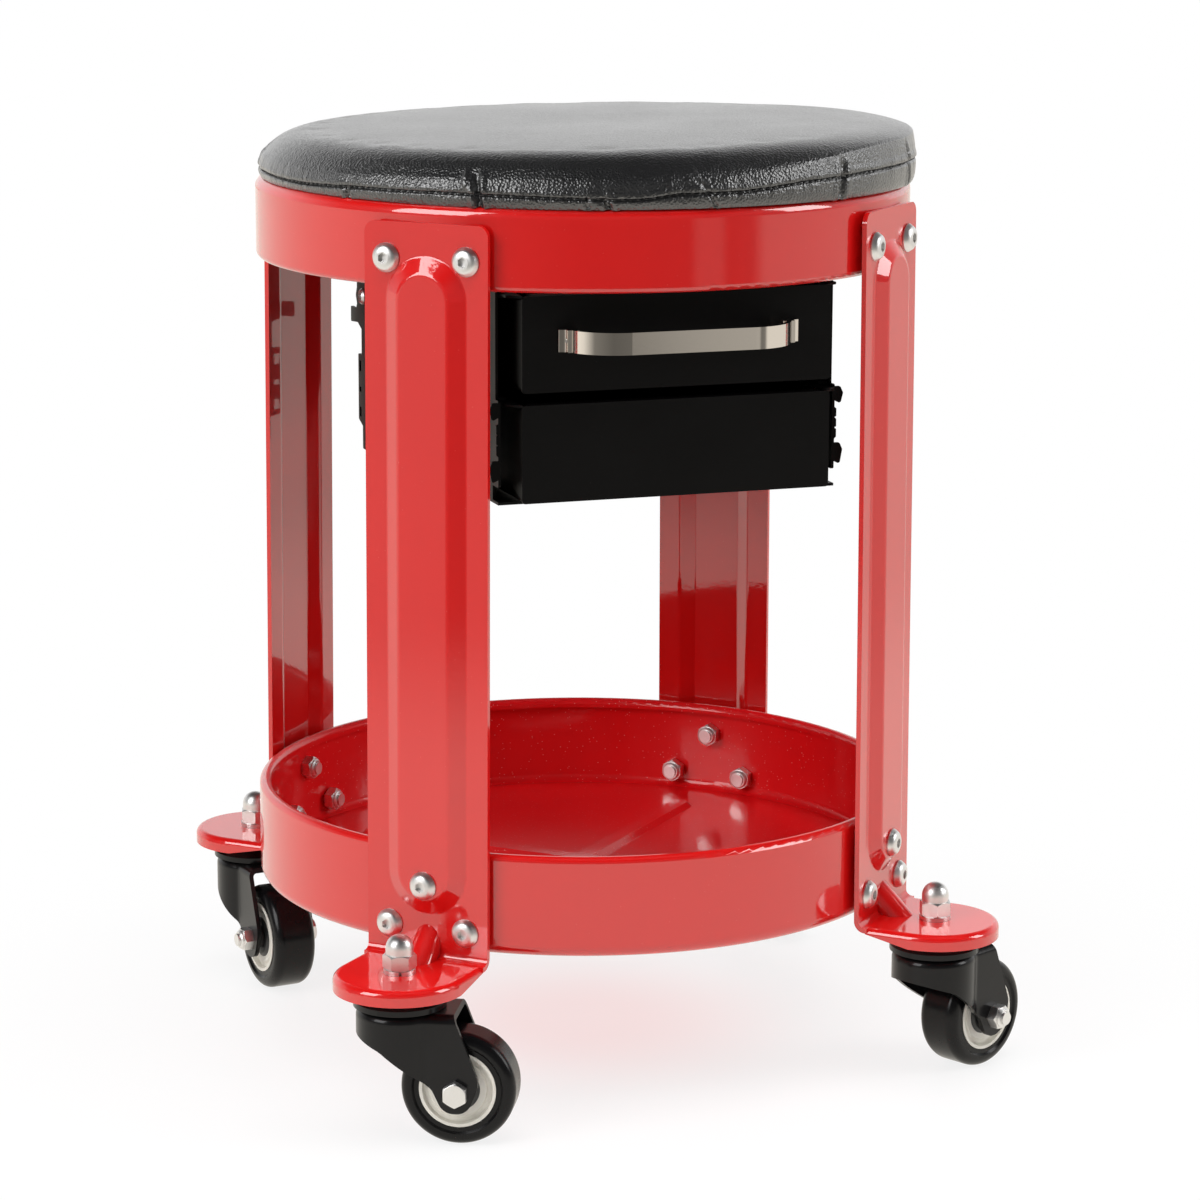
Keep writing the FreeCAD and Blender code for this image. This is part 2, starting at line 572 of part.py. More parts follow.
def fork():
    t = FORK_SHEET
    shell = fork_blank(HEAD_RADIUS, FORK_HALF_WIDTH, 50, FORK_TOP, 5.0, 4.0)
    shell = shell.cut(fork_blank(HEAD_RADIUS - t, FORK_HALF_WIDTH - t, 60, FORK_TOP - t, 7.2, 1.8))
    side = [(-21, 61), (25.6, 61), (37.4, 30, 9), (32, 15.9, 7), (21.5, 15.9, 7), (16.3, 26.8, 6), (-6, 43.6, 14), (-21, 49.1)]
    body = shell.common(prism(side, lambda u, v: Vector(u, -30, v), Vector(0, 60, 0)))
    axle = Vector(TRAIL, 0, WHEEL_RADIUS)
    body = body.cut(rod(4.0, ORIGIN, Vector(0, 0, 90)))
    return body.cut(rod(AXLE_RADIUS + 0.06, axle - Y_AXIS * 20, axle + Y_AXIS * 20))


def fork_blank(head, half, front, top, blend, rounding):
    """Round head running into two parallel cheeks, blended together, its top edge rounded."""
    low = 8.0
    body = Part.makeCylinder(head, top - low, Vector(0, 0, low)).fuse(box((0, front), (-half, half), (low, top)))
    body = body.removeSplitter()
    corner = math.sqrt(head ** 2 - half ** 2)
    upright = [e for e in body.Edges if abs(e.BoundBox.XMin - corner) < 0.01 and e.BoundBox.ZLength > 10]
    body = body.makeFillet(blend, upright)
    rim = [e for e in body.Edges if e.BoundBox.ZMin > top - 1e-6 and e.BoundBox.XMin < front - 1]
    return body.makeFillet(rounding, rim)


# Wheel, turned about Z: soft tyre, pale core and the bush that spins on the axle

def tyre():
    w, r = WHEEL_WIDTH / 2, WHEEL_RADIUS
    half = [(17.05, w - 0.9), (19.2, w - 0.9), (20.2, w), (r, w, 4.6)]
    return revolve(half + [(u, -v, *radius) for u, v, *radius in half[::-1]])


def wheel_core():
    half = [(9.75, 8.6), (12.4, 8.6), (13.2, 7.8), (15.0, 7.8), (15.6, 10.0), (17.0, 10.0)]
    return revolve(half + [(u, -v) for u, v in half[::-1]])


def wheel_bush():
    half = [(AXLE_RADIUS + 0.06, 12.3), (5.4, 12.3), (5.4, 9.8), (8.2, 9.8), (9.7, 8.8)]
    return revolve(half + [(u, -v) for u, v in half[::-1]])


def axle_bolt():
    """Bolt with its head on the -Y cheek, drawn with the head above Z = 0."""
    shank = 2 * FORK_HALF_WIDTH + 7.2
    head = hexagon(10.0, 0, 4.0, 30.0).common(revolve([(0, -0.1), (5.9, -0.1), (5.9, 3.3), (4.9, 4.0), (0, 4.0)]))
    return head.fuse(rod(AXLE_RADIUS, Vector(0, 0, -shank), Vector(0, 0, 1)))


# Assembly

for name, angle in LEG_ANGLES.items():
    save("leg_" + name, turned(leg(), angle))

short_screws, long_screws, nuts = leg_fasteners()
save("leg_screws", Part.makeCompound(short_screws))
save("leg_screws_long", Part.makeCompound(long_screws))
save("leg_nuts", Part.makeCompound(nuts))

save("seat_pan", seat_pan())
save("tray", tray())
save("seat_board", seat_board())
save("seat_cushion", cushion())
save("tee_nuts", Part.makeCompound([moved(tee_nut(), x, y, 0) for x, y in SEAT_BOLTS]))
bolt_seat = HANGER_TOP - HANGER_SHEET - 0.05
save("seat_bolts", Part.makeCompound([standing(button_screw(11.0), Vector(x, y, bolt_seat), -Z_AXIS) for x, y in SEAT_BOLTS]))

right_hanger = drawer_hanger()
save("drawer_hanger_right", right_hanger)
save("drawer_hanger_left", mirrored(right_hanger))
save("drawer_stop_strap", stop_strap())
strap_screws, strap_nuts = strap_fasteners()
save("strap_screws", Part.makeCompound(strap_screws))
save("strap_nuts", Part.makeCompound(strap_nuts))

save("upper_drawer", drawer("upper"))
save("lower_drawer", drawer("lower"))
save("drawer_handle", handle())
inner_face = DRAWER_FRONT + DRAWER_SHEET + 0.05
save("handle_screws", Part.makeCompound([standing(pan_screw(4.8), Vector(x, inner_face, HANDLE_Z), Y_AXIS)
                                         for x in (-HANDLE_SCREW_X, HANDLE_SCREW_X)]))

fixed_pieces = {"caster_stems": caster_stem(), "stem_collars": stem_collar(), "race_cups": race_cup(),
                "spring_washers": spring_washer(), "dome_nuts": dome_nut()}
for name, piece in fixed_pieces.items():
    save(name, Part.makeCompound([turned(moved(piece, STEM_DISTANCE, 0, 0), angle) for angle in LEG_ANGLES.values()]))

axle = Vector(TRAIL, 0, WHEEL_RADIUS)
cheek = Y_AXIS * (FORK_HALF_WIDTH + 0.05)
caster = {"fork": fork(), "tyre": standing(tyre(), axle, Y_AXIS), "wheel_core": standing(wheel_core(), axle, Y_AXIS),
          "wheel_bush": standing(wheel_bush(), axle, Y_AXIS)}
for name, angle in LEG_ANGLES.items():
    # The bolt heads of the front left and rear right casters face right, the others left
    head_side = -1 if name in ("front_left", "rear_right") else 1
    pieces = dict(caster)
    pieces["axle_bolt"] = standing(axle_bolt(), axle + cheek * head_side, Y_AXIS * head_side)
    pieces["axle_nut"] = standing(lock_nut(), axle - cheek * head_side, Y_AXIS * -head_side)
    stem = turned(Part.Vertex(STEM_DISTANCE, 0, 0), angle).Point
    for piece_name, piece in pieces.items():
        save("%s_%s" % (piece_name, name), moved(turned(piece, TRAIL_ANGLES[name]), *stem))
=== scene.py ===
import math

import bpy
import numpy as np
from mathutils import Matrix, Vector, noise


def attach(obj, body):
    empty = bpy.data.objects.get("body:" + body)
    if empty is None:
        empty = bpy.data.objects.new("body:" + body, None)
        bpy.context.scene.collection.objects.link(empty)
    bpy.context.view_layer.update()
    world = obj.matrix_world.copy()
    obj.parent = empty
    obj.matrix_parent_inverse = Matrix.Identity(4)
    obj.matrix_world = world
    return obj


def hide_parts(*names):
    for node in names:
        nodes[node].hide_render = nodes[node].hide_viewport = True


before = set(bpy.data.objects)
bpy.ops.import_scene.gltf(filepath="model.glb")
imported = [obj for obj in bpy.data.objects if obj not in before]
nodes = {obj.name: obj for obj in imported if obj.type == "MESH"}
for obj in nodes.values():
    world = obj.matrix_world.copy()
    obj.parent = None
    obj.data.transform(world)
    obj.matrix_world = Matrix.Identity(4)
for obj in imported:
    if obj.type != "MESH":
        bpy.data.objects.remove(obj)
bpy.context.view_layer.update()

scene = bpy.context.scene
scene.view_settings.view_transform = 'Standard'


# Camera. The seat is seen from the front left and slightly above, through a long lens about
# 1.8 m away. The turn is counted from the +Y axis, and the camera leans a little to one side.
CAMERA_PLACE = Vector((-0.5723, -1.6602, 0.5794))
CAMERA_TURN = math.radians(-19.30)
CAMERA_PITCH = math.radians(12.0)
CAMERA_ROLL = math.radians(0.22)
CAMERA_LENS = 114.58
CAMERA_SENSOR = 36
CAMERA_FAR_END = 100

level_right = Vector((math.cos(CAMERA_TURN), math.sin(CAMERA_TURN), 0))
forward = Vector((-math.sin(CAMERA_TURN) * math.cos(CAMERA_PITCH),
                  math.cos(CAMERA_TURN) * math.cos(CAMERA_PITCH), -math.sin(CAMERA_PITCH)))
level_up = level_right.cross(forward)
camera_right = level_right * math.cos(CAMERA_ROLL) + level_up * math.sin(CAMERA_ROLL)
camera_up = level_up * math.cos(CAMERA_ROLL) - level_right * math.sin(CAMERA_ROLL)
camera = bpy.data.objects.new("camera", bpy.data.cameras.new("camera"))
camera.data.sensor_width = CAMERA_SENSOR
camera.data.lens = CAMERA_LENS
camera.data.clip_end = CAMERA_FAR_END
camera.matrix_world = (Matrix.Translation(CAMERA_PLACE)
                       @ Matrix((camera_right, camera_up, -forward)).transposed().to_4x4())
scene.collection.objects.link(camera)
scene.camera = camera


# Soft boxes stand to the left, to the right and overhead, as (name, place, aim, width, height,
# watts, mirrored). The one overhead lights the seat but doesn't show in its glossy surfaces.
SOFT_BOXES = [("soft_box_left", (-2.2, -0.7, 1.5), (0, 0, 0.2), 1.3, 1.7, 40, True),
              ("soft_box_right", (2.3, -1.1, 1.4), (0, 0, 0.25), 1.0, 1.5, 27, True),
              ("soft_box_over", (0.0, -0.5, 2.6), (0, 0, 0.2), 2.4, 2.0, 64, False)]

for name, place, aim, width, height, watts, mirrored in SOFT_BOXES:
    lamp = bpy.data.objects.new(name, bpy.data.lights.new(name, 'AREA'))
    lamp.data.shape = 'RECTANGLE'
    lamp.data.size = width
    lamp.data.size_y = height
    lamp.data.energy = watts
    lamp.visible_glossy = mirrored
    lamp.location = place
    lamp.rotation_euler = (Vector(aim) - Vector(place)).to_track_quat('-Z', 'Y').to_euler()
    scene.collection.objects.link(lamp)


# Room. It is white behind the seat and dim in front of it and overhead, and the camera itself
# sees plain white in every direction.
ROOM_TONES = [(0.0, 0.16), (0.25, 0.55), (0.55, 1.0)]
CEILING_TONES = [(0.0, 1.0), (0.36, 1.0), (0.60, 0.10), (1.0, 0.06)]
WHITE = (1, 1, 1)


def add_node(tree, kind, inputs=None, **settings):
    """Shader node with its settings, its sockets set to values or linked to other sockets."""
    node = tree.nodes.new(kind)
    for name, value in settings.items():
        setattr(node, name, value)
    for name, value in (inputs or {}).items():
        if isinstance(value, bpy.types.NodeSocket):
            tree.links.new(value, node.inputs[name])
        else:
            node.inputs[name].default_value = value
    return node


def ramp(tree, factor, stops):
    """Tone or colour at a factor, through (position, value or colour) stops."""
    node = add_node(tree, 'ShaderNodeValToRGB', {'Fac': factor})
    elements = node.color_ramp.elements
    while len(elements) < len(stops):
        elements.new(0.5)
    for element, (position, value) in zip(elements, stops):
        element.position = position
        element.color = (*value, 1) if isinstance(value, tuple) else (value, value, value, 1)
    return node.outputs['Color']


def maths(tree, operation, *values):
    """Result of one step of arithmetic on values or sockets."""
    return add_node(tree, 'ShaderNodeMath', dict(enumerate(values)), operation=operation).outputs[0]


def dot_product(tree, direction, other):
    node = add_node(tree, 'ShaderNodeVectorMath', {0: direction, 1: other}, operation='DOT_PRODUCT')
    return node.outputs['Value']


def blend_colours(tree, factor, low, high, way='MIX'):
    """Colour between two others, values or sockets. The node has them in 6 and 7, the result in 2."""
    node = add_node(tree, 'ShaderNodeMix', {'Factor': factor}, data_type='RGBA', blend_type=way)
    for socket, value in ((node.inputs[6], low), (node.inputs[7], high)):
        if isinstance(value, bpy.types.NodeSocket):
            tree.links.new(value, socket)
        else:
            socket.default_value = (*value, 1)
    return node.outputs[2]


world = bpy.data.worlds.new("studio")
scene.world = world
world.use_nodes = True
tree = world.node_tree
tree.nodes.clear()
direction = add_node(tree, 'ShaderNodeTexCoord').outputs['Generated']
height = add_node(tree, 'ShaderNodeSeparateXYZ', {'Vector': direction}).outputs['Z']
room = ramp(tree, dot_product(tree, direction, forward), ROOM_TONES)
sky = blend_colours(tree, 1.0, room, ramp(tree, height, CEILING_TONES), 'MULTIPLY')
seen = add_node(tree, 'ShaderNodeLightPath').outputs['Is Camera Ray']
sky = blend_colours(tree, seen, sky, WHITE)
background = add_node(tree, 'ShaderNodeBackground', {'Color': sky, 'Strength': 1.0})
add_node(tree, 'ShaderNodeOutputWorld', {'Surface': background.outputs[0]})


# Floor of white paper. Beyond the paper's edge its tone goes by the direction from the seat, as
# (degrees to the right of the camera, tone), in mirrored and lighting rays only. Below the seat
# its glow has a painted pink tint that stands in for light bounced off the red sheet above, and
# it keeps the seat's soft shadow.
FLOOR_REACH = 40.0
FLOOR_TONES = [(-180, 1.0), (-86, 1.0), (-62, 0.80), (-38, 0.20), (0, 0.12), (37, 0.14), (40, 0.42),
               (48, 0.42), (51, 0.16), (60, 0.20), (65, 0.75), (120, 0.75), (180, 1.0)]
PAPER_EDGE = {'From Min': 0.75, 'From Max': 1.3}
PAPER_PAINT = (0.93, 0.925, 0.925)
PAPER_IN_MIRRORS = (1, 0.96, 0.87)
# Painted pink bounce light below the seat, and how far from the axis it reaches
PAINTED_RED_BOUNCE = (1, 0.84, 0.835)
PAINTED_BOUNCE_REACH = {'From Min': 0.02, 'From Max': 0.125}
GLOW_SHARE = {'From Min': 0.14, 'From Max': 0.45, 'To Min': 0.82, 'To Max': 1.0}


def eased(tree, value, limits):
    """Value carried over from one range to another, with soft ends."""
    node = add_node(tree, 'ShaderNodeMapRange', {'Value': value, **limits}, interpolation_type='SMOOTHSTEP')
    return node.outputs[0]


floor_mesh = bpy.data.meshes.new("floor")
floor_mesh.from_pydata([(-FLOOR_REACH, -FLOOR_REACH, 0), (FLOOR_REACH, -FLOOR_REACH, 0),
                        (FLOOR_REACH, FLOOR_REACH, 0), (-FLOOR_REACH, FLOOR_REACH, 0)], [], [(0, 1, 2, 3)])
floor = bpy.data.objects.new("floor", floor_mesh)
scene.collection.objects.link(floor)
material = bpy.data.materials.new("white_floor")
material.use_nodes = True
tree = material.node_tree
tree.nodes.clear()
place = add_node(tree, 'ShaderNodeTexCoord').outputs['Object']
path = add_node(tree, 'ShaderNodeLightPath')
reach = add_node(tree, 'ShaderNodeVectorMath', {0: place}, operation='LENGTH').outputs['Value']
towards = dot_product(tree, place, (-forward.x, -forward.y, 0))
turn = maths(tree, 'ARCTAN2', dot_product(tree, place, level_right), towards)
turn = maths(tree, 'MULTIPLY_ADD', turn, 0.5 / math.pi, 0.5)
tone = ramp(tree, turn, [(degrees / 360 + 0.5, value) for degrees, value in FLOOR_TONES])
beyond = maths(tree, 'MULTIPLY', eased(tree, reach, PAPER_EDGE),
               maths(tree, 'SUBTRACT', 1.0, path.outputs['Is Camera Ray']))
tone = blend_colours(tree, beyond, WHITE, tone)
paint = blend_colours(tree, 1.0, tone, PAPER_PAINT, 'MULTIPLY')
paper = add_node(tree, 'ShaderNodeBsdfPrincipled',
                 {'Base Color': paint, 'Roughness': 0.42, 'Specular IOR Level': 0.3})
# Painted pink bounce light in the floor's glow below the seat
painted_bounce = blend_colours(tree, eased(tree, reach, PAINTED_BOUNCE_REACH), PAINTED_RED_BOUNCE, WHITE)
glow = blend_colours(tree, path.outputs['Is Glossy Ray'], painted_bounce, PAPER_IN_MIRRORS)
glow = blend_colours(tree, 1.0, tone, glow, 'MULTIPLY')
glow = add_node(tree, 'ShaderNodeEmission', {'Color': glow, 'Strength': 1.0})
seen = maths(tree, 'MAXIMUM', path.outputs['Is Camera Ray'], path.outputs['Is Glossy Ray'])
seen = maths(tree, 'MAXIMUM', seen, path.outputs['Is Transmission Ray'])
share = maths(tree, 'MULTIPLY', seen, eased(tree, reach, GLOW_SHARE))
mix = add_node(tree, 'ShaderNodeMixShader', {'Fac': share, 1: paper.outputs[0], 2: glow.outputs[0]})
add_node(tree, 'ShaderNodeOutputMaterial', {'Surface': mix.outputs[0]})
floor_mesh.materials.append(material)


# Seat pan, tray and legs: pressed sheet dipped in glossy red enamel, with a slight orange peel
# and a few grains caught in the coat. The legs are screwed to the pan and the tray.
CORNERS = ("front_left", "front_right", "rear_left", "rear_right")
RED_THIN = (0.63, 0.004, 0.004)
RED_FULL = (0.69, 0.006, 0.005)
RED_GRAIN = (0.80, 0.10, 0.09)
ENAMEL_PEEL = 0.000015
ENAMEL_GRAIN = 0.00006


def new_material(name):
    """Material with one shader, and the place on the piece that its patterns go by."""
    material = bpy.data.materials.new(name)
    material.use_nodes = True
    tree = material.node_tree
    tree.nodes.clear()
    shader = add_node(tree, 'ShaderNodeBsdfPrincipled')
    add_node(tree, 'ShaderNodeOutputMaterial', {'Surface': shader.outputs[0]})
    place = add_node(tree, 'ShaderNodeTexCoord').outputs['Object']
    return material, tree, shader, place


def set_sockets(shader, values):
    """Sets the shader's sockets to values, or links them to other sockets."""
    for name, value in values.items():
        if isinstance(value, bpy.types.NodeSocket):
            shader.id_data.links.new(value, shader.inputs[name])
        else:
            shader.inputs[name].default_value = value


def noise_value(tree, place, per_metre, detail=2.0, roughness=0.5):
    settings = {'Vector': place, 'Scale': per_metre, 'Detail': detail, 'Roughness': roughness}
    return add_node(tree, 'ShaderNodeTexNoise', settings).outputs['Fac']


def specks(tree, place, per_metre, radius):
    """One speck in each cell of a scattered pattern, with its radius as a share of the cell."""
    cells = add_node(tree, 'ShaderNodeTexVoronoi', {'Vector': place, 'Scale': per_metre}, feature='F1')
    return ramp(tree, cells.outputs['Distance'], [(0.0, 1.0), (radius, 0.0)])


def bump(tree, height, depth, normal=None):
    """Bump of a real depth in metres."""
    inputs = {'Height': height, 'Strength': 1.0, 'Distance': depth}
    if normal is not None:
        inputs['Normal'] = normal
    return add_node(tree, 'ShaderNodeBump', inputs).outputs['Normal']


def dress(names, material, crease=35):
    """Gives CAD nodes a material and smooth shading up to a crease angle."""
    for name in names:
        mesh = nodes[name].data
        mesh.materials.clear()
        mesh.materials.append(material)
        mesh.shade_smooth()
        mesh.set_sharp_from_angle(angle=math.radians(crease))


red_enamel, tree, shader, place = new_material("red_enamel")
cloud = noise_value(tree, place, per_metre=14, detail=3)
peel = noise_value(tree, place, per_metre=420)
grain = specks(tree, place, per_metre=260, radius=0.06)
colour = blend_colours(tree, cloud, RED_THIN, RED_FULL)
colour = blend_colours(tree, grain, colour, RED_GRAIN)
relief = bump(tree, grain, ENAMEL_GRAIN, bump(tree, peel, ENAMEL_PEEL))
set_sockets(shader, {'Base Color': colour, 'Roughness': 0.35, 'Specular IOR Level': 0.15, 'Normal': relief,
                     'Coat Weight': 1.0, 'Coat Roughness': 0.045, 'Coat IOR': 1.8, 'Coat Normal': relief})
dress(["seat_pan", "tray"] + ["leg_" + corner for corner in CORNERS], red_enamel)


# Inside of the tray: the same red enamel, dulled and speckled by fine dust and by wear, and
# painted a lighter red than the outside to lift the shade that the seat casts into the tray. Its
# faces are those that look towards the seat's axis, or up from the tray's floor.
PAINTED_LIGHT_RED_LOW = (0.74, 0.005, 0.008)
PAINTED_LIGHT_RED_HIGH = (0.82, 0.009, 0.012)
DUST_RED = (0.95, 0.30, 0.28)
DUST_HEIGHT = 0.00008
WORN_PEEL = 0.00004
TRAY_FLOOR_RADIUS = 0.142
FACING_AXIS = -0.02
FACING_UP = 0.3

red_worn_with_painted_light, tree, shader, place = new_material("red_worn_with_painted_light")
cloud = noise_value(tree, place, per_metre=18, detail=4, roughness=0.6)
peel = noise_value(tree, place, per_metre=420)
dust = specks(tree, place, per_metre=420, radius=0.16)
# Painted light: the inside's red is lighter than the outside's, against the seat's shade
colour = blend_colours(tree, cloud, PAINTED_LIGHT_RED_LOW, PAINTED_LIGHT_RED_HIGH)
colour = blend_colours(tree, dust, colour, DUST_RED)
relief = bump(tree, dust, DUST_HEIGHT, bump(tree, peel, WORN_PEEL))
set_sockets(shader, {'Base Color': colour, 'Roughness': 0.4, 'Specular IOR Level': 0.15, 'Normal': relief,
                     'Coat Weight': 0.75, 'Coat Roughness': 0.08, 'Coat Normal': relief})
# Faces inside the tray take the lighter red with its painted light
tray_mesh = nodes["tray"].data
tray_mesh.materials.append(red_worn_with_painted_light)
for face in tray_mesh.polygons:
    inwards = face.center.x * face.normal.x + face.center.y * face.normal.y < FACING_AXIS
    on_floor = face.normal.z > FACING_UP and math.hypot(face.center.x, face.center.y) < TRAY_FLOOR_RADIUS
    if inwards or on_floor:
        face.material_index = 1


# Fasteners: button-head screws, lock nuts, dome nuts, washers, caster stems and axle bolts. They
# are steel with a bright, slightly cloudy zinc plate, and hold the sheets and casters together.
ZINC_DARK = (0.74, 0.73, 0.72)
ZINC_BRIGHT = (0.92, 0.91, 0.90)
ZINC_GRIT = 0.00002
CLOUD_LOW = 0.3
CLOUD_HIGH = 0.7


def cloudy_gloss(tree, cloud, smooth, rough):
    """Roughness that wanders from smooth to rough as a cloudy pattern does."""
    return ramp(tree, cloud, [(CLOUD_LOW, smooth), (CLOUD_HIGH, rough)])


zinc, tree, shader, place = new_material("zinc_plate")
cloud = noise_value(tree, place, per_metre=160, detail=4, roughness=0.6)
grit = noise_value(tree, place, per_metre=1900)
colour = blend_colours(tree, cloud, ZINC_DARK, ZINC_BRIGHT)
gloss = cloudy_gloss(tree, cloud, smooth=0.34, rough=0.48)
set_sockets(shader, {'Base Color': colour, 'Metallic': 1.0, 'Roughness': gloss,
                     'Normal': bump(tree, grit, ZINC_GRIT)})
dress(["leg_screws", "leg_screws_long", "leg_nuts", "dome_nuts", "spring_washers", "caster_stems",
       "tee_nuts", "seat_bolts", "strap_screws", "strap_nuts", "handle_screws"], zinc)
dress([name + corner for corner in CORNERS for name in ("axle_bolt_", "axle_nut_")], zinc)


# Drawers with their hangers and the stop strap: thin folded sheet with a satin black coat,
# finely textured, with a little dust. The hangers carry the drawers on their rails.
SHEET_BLACK = (0.0025, 0.0022, 0.0022)
SHEET_DUST = (0.03, 0.025, 0.024)
SHEET_TEXTURE = 0.000015

black_sheet, tree, shader, place = new_material("black_sheet")
cloud = noise_value(tree, place, per_metre=22, detail=4, roughness=0.6)
texture = noise_value(tree, place, per_metre=1300)
colour = blend_colours(tree, specks(tree, place, per_metre=120, radius=0.035), SHEET_BLACK, SHEET_DUST)
gloss = cloudy_gloss(tree, cloud, smooth=0.36, rough=0.48)
set_sockets(shader, {'Base Color': colour, 'Roughness': gloss, 'Specular IOR Level': 0.15,
                     'Normal': bump(tree, texture, SHEET_TEXTURE)})
dress(["drawer_hanger_left", "drawer_hanger_right", "drawer_stop_strap", "upper_drawer", "lower_drawer"],
      black_sheet)


# Handle of the upper drawer: a bent strap, polished along its length and chrome plated, and
# screwed on from inside the drawer. The chrome's warm pinkish-brown tint is a painted reflection
# of the surroundings.
CHROME_WITH_PAINTED_REFLECTION = (0.88, 0.82, 0.76, 1)
POLISH_STREAKS = (30, 30, 900)
POLISH_DEPTH = 0.000006

chrome, tree, shader, place = new_material("chrome")
streaks = add_node(tree, 'ShaderNodeMapping', {'Vector': place, 'Scale': POLISH_STREAKS}).outputs[0]
brush = noise_value(tree, streaks, per_metre=6)
set_sockets(shader, {'Base Color': CHROME_WITH_PAINTED_REFLECTION, 'Metallic': 1.0, 'Roughness': 0.09,
                     'Normal': bump(tree, brush, POLISH_DEPTH)})
dress(["drawer_handle"], chrome)


# Swivel forks of the casters with their race cups and stem collars: pressed steel under a
# glossy black coat. Each fork turns on the stem that goes through the leg's plate.
FORK_BLACK_LOW = (0.0035, 0.0033, 0.0037)
FORK_BLACK_HIGH = (0.007, 0.0065, 0.007)
FORK_PEEL = 0.00002

caster_black, tree, shader, place = new_material("caster_black")
cloud = noise_value(tree, place, per_metre=60, detail=3)
peel = noise_value(tree, place, per_metre=700)
colour = blend_colours(tree, cloud, FORK_BLACK_LOW, FORK_BLACK_HIGH)
set_sockets(shader, {'Base Color': colour, 'Roughness': 0.30, 'Coat Weight': 0.3, 'Coat Roughness': 0.10,
                     'Specular IOR Level': 0.15, 'Normal': bump(tree, peel, FORK_PEEL)})
dress(["fork_" + corner for corner in CORNERS] + ["race_cups", "stem_collars"], caster_black)


# Wheels: a polished black tyre moulded on a core of cream plastic, which runs on a dark bush
# on the axle bolt.
TYRE_BLACK = (0.004, 0.0038, 0.0042, 1)
TYRE_WEAR = 0.00006
CREAM_LOW = (0.74, 0.71, 0.62)
CREAM_HIGH = (0.84, 0.81, 0.73)
BUSH_LOW = (0.012, 0.012, 0.012)
BUSH_HIGH = (0.03, 0.03, 0.03)
MOULDED_RELIEF = 0.00003

tyre_black, tree, shader, place = new_material("tyre_black")
cloud = noise_value(tree, place, per_metre=90, detail=4, roughness=0.6)
gloss = cloudy_gloss(tree, cloud, smooth=0.18, rough=0.30)
set_sockets(shader, {'Base Color': TYRE_BLACK, 'Roughness': gloss, 'Specular IOR Level': 0.25,
                     'Normal': bump(tree, cloud, TYRE_WEAR)})
dress(["tyre_" + corner for corner in CORNERS], tyre_black)

core_cream, tree, shader, place = new_material("core_cream")
cloud = noise_value(tree, place, per_metre=120, detail=3)
set_sockets(shader, {'Base Color': blend_colours(tree, cloud, CREAM_LOW, CREAM_HIGH), 'Roughness': 0.38,
                     'Normal': bump(tree, cloud, MOULDED_RELIEF)})
dress(["wheel_core_" + corner for corner in CORNERS], core_cream)

bush_dark, tree, shader, place = new_material("bush_dark")
cloud = noise_value(tree, place, per_metre=200, detail=3)
set_sockets(shader, {'Base Color': blend_colours(tree, cloud, BUSH_LOW, BUSH_HIGH), 'Roughness': 0.4,
                     'Normal': bump(tree, cloud, MOULDED_RELIEF)})
dress(["wheel_bush_" + corner for corner in CORNERS], bush_dark)


# Round board under the cushion: plain plywood with its grain along X. Bolts come up through the
# pan into tee nuts in the board and hold the cushion down.
WOOD_DARK = (0.36, 0.24, 0.14)
WOOD_LIGHT = (0.52, 0.38, 0.25)
WOOD_GRAIN = (4, 60, 60)
WOOD_RELIEF = 0.0001

board_wood, tree, shader, place = new_material("board_wood")
fibres = add_node(tree, 'ShaderNodeMapping', {'Vector': place, 'Scale': WOOD_GRAIN}).outputs[0]
cloud = noise_value(tree, fibres, per_metre=2, detail=4)
set_sockets(shader, {'Base Color': blend_colours(tree, cloud, WOOD_DARK, WOOD_LIGHT), 'Roughness': 0.7,
                     'Normal': bump(tree, cloud, WOOD_RELIEF)})
dress(["seat_board"], board_wood)


# Cushion: foam disc in a grained black vinyl cover. The top panel comes over the shoulder to a
# stitched seam low on the side, and a narrow band below it is tucked under the board. The vinyl
# is gathered in a few folds that cross the seam, and the whole cushion leans a little.
SIM_SEGMENTS = 240
FINE_STEPS = 6
SIDE_RADIUS = 0.1501
SEAM_HEIGHT = 0.4112
COVER_SHIFT = 0.0021
COVER_TILT = 0.0150
TILT_FULL_FROM = 0.4200

# Outline of the cover as arcs through three (radius, height) points, with the rows on each
CROWN = [((0.004, 0.4300), (0.062, 0.42980), (0.126, 0.4286), 10),
         ((0.126, 0.4286), (0.1402, 0.42610), (0.1470, 0.4206), 7),
         ((0.1470, 0.4206), (0.1492, 0.4175), (0.1501, 0.4145), 5),
         ((0.1501, 0.4145), (0.15035, 0.4128), (0.1501, 0.4112), 3)]
LOWER_BAND = [((0.1501, 0.4112), (0.1500, 0.4083), (0.1487, 0.4054), 3),
              ((0.1487, 0.4054), (0.1465, 0.4066), (0.1436, 0.40695), 1),
              ((0.1436, 0.40695), (0.1428, 0.40692), (0.1420, 0.40695), 1),
              ((0.1420, 0.40695), (0.1419, 0.4115), (0.1420, 0.4161), 1),
              ((0.1420, 0.4161), (0.1, 0.41611), (0.06, 0.4161), 1)]

# Height of the seam round the side, as (angle, height), smoothed over this many columns each way
SEAM_COURSE = [(-180, 0.4101), (-165, 0.4098), (-151, 0.4110), (-131, 0.4114), (-110, 0.4101),
               (-101, 0.4095), (-94, 0.4117), (-82, 0.4119), (-70, 0.4146), (-52, 0.4160), (-33, 0.4165),
               (0, 0.4140), (60, 0.4122), (120, 0.4110), (180, 0.4101)]
SEAM_SMOOTHING = 12

# Fuller stuffing of the shoulder round the side, as (angle, share of its drop that is filled)
FULLNESS = [(-180, 0.05), (-144, 0), (-81, 0), (-68, 0.30), (-59, 0.50), (-49, 0.60), (11, 0.62),
            (21, 0.52), (30, 0.30), (43, 0), (106, 0), (131, 0.05), (180, 0.05)]
FULLNESS_SMOOTHING = 60
SHOULDER_HEIGHT = 0.4180
SHOULDER_DROP = 0.0131

